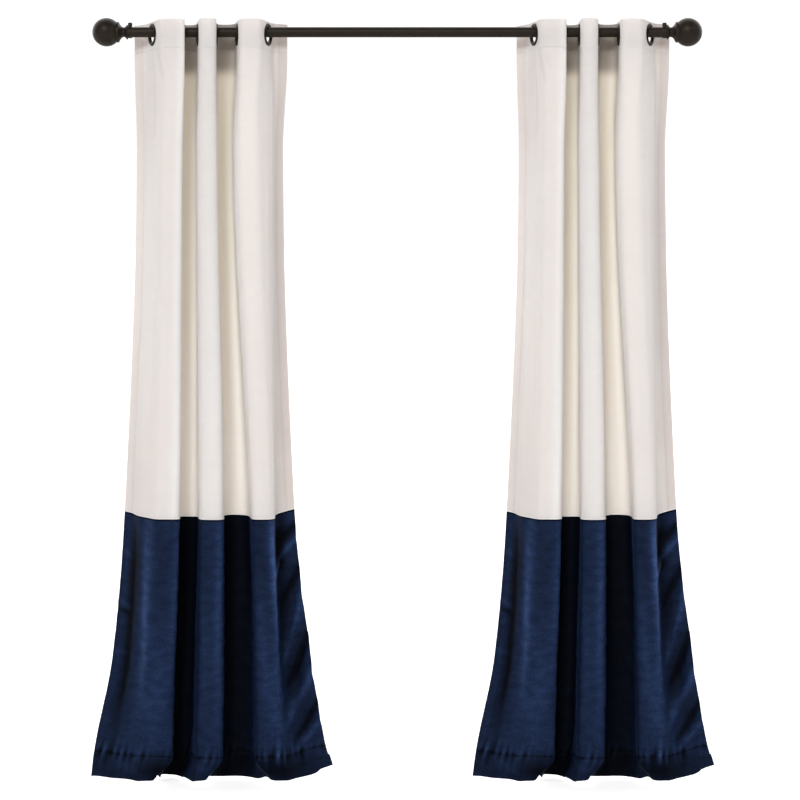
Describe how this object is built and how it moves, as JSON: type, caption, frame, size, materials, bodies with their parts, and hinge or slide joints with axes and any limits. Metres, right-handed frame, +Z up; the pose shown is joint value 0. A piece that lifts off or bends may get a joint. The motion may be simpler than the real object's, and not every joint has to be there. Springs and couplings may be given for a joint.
{
  "type": "pair of eyelet curtains on a curtain rod",
  "caption": "Pair of two-colour velvet eyelet curtains, ivory above navy, hanging gathered in deep folds from a round rod with ball finials",
  "frame": {"origin": "the middle of the rod's axis, where the wall holds the rod up", "axes": "+X along the rod to the right seen from the room, +Y towards the wall, +Z up"},
  "size_m": [1.7749, 0.1344, 2.148],
  "materials": {
    "ivory_velvet": "short matt pile",
    "navy_velvet": "short lustrous pile",
    "dark_bronze": "satin dark bronze"
  },
  "bodies": {
    "root": {"rod": "dark_bronze", "finial_left": "dark_bronze", "finial_right": "dark_bronze", "finial_screw_left": "dark_bronze", "finial_screw_right": "dark_bronze", "left_heading": "ivory_velvet", "left_upper": "ivory_velvet", "left_lower": "navy_velvet", "left_eyelet_1": "dark_bronze", "left_eyelet_2": "dark_bronze", "left_eyelet_3": "dark_bronze", "left_eyelet_4": "dark_bronze", "left_eyelet_5": "dark_bronze", "left_eyelet_6": "dark_bronze", "right_heading": "ivory_velvet", "right_upper": "ivory_velvet", "right_lower": "navy_velvet", "right_eyelet_1": "dark_bronze", "right_eyelet_2": "dark_bronze", "right_eyelet_3": "dark_bronze", "right_eyelet_4": "dark_bronze", "right_eyelet_5": "dark_bronze", "right_eyelet_6": "dark_bronze"}
  },
  "joints": []
}
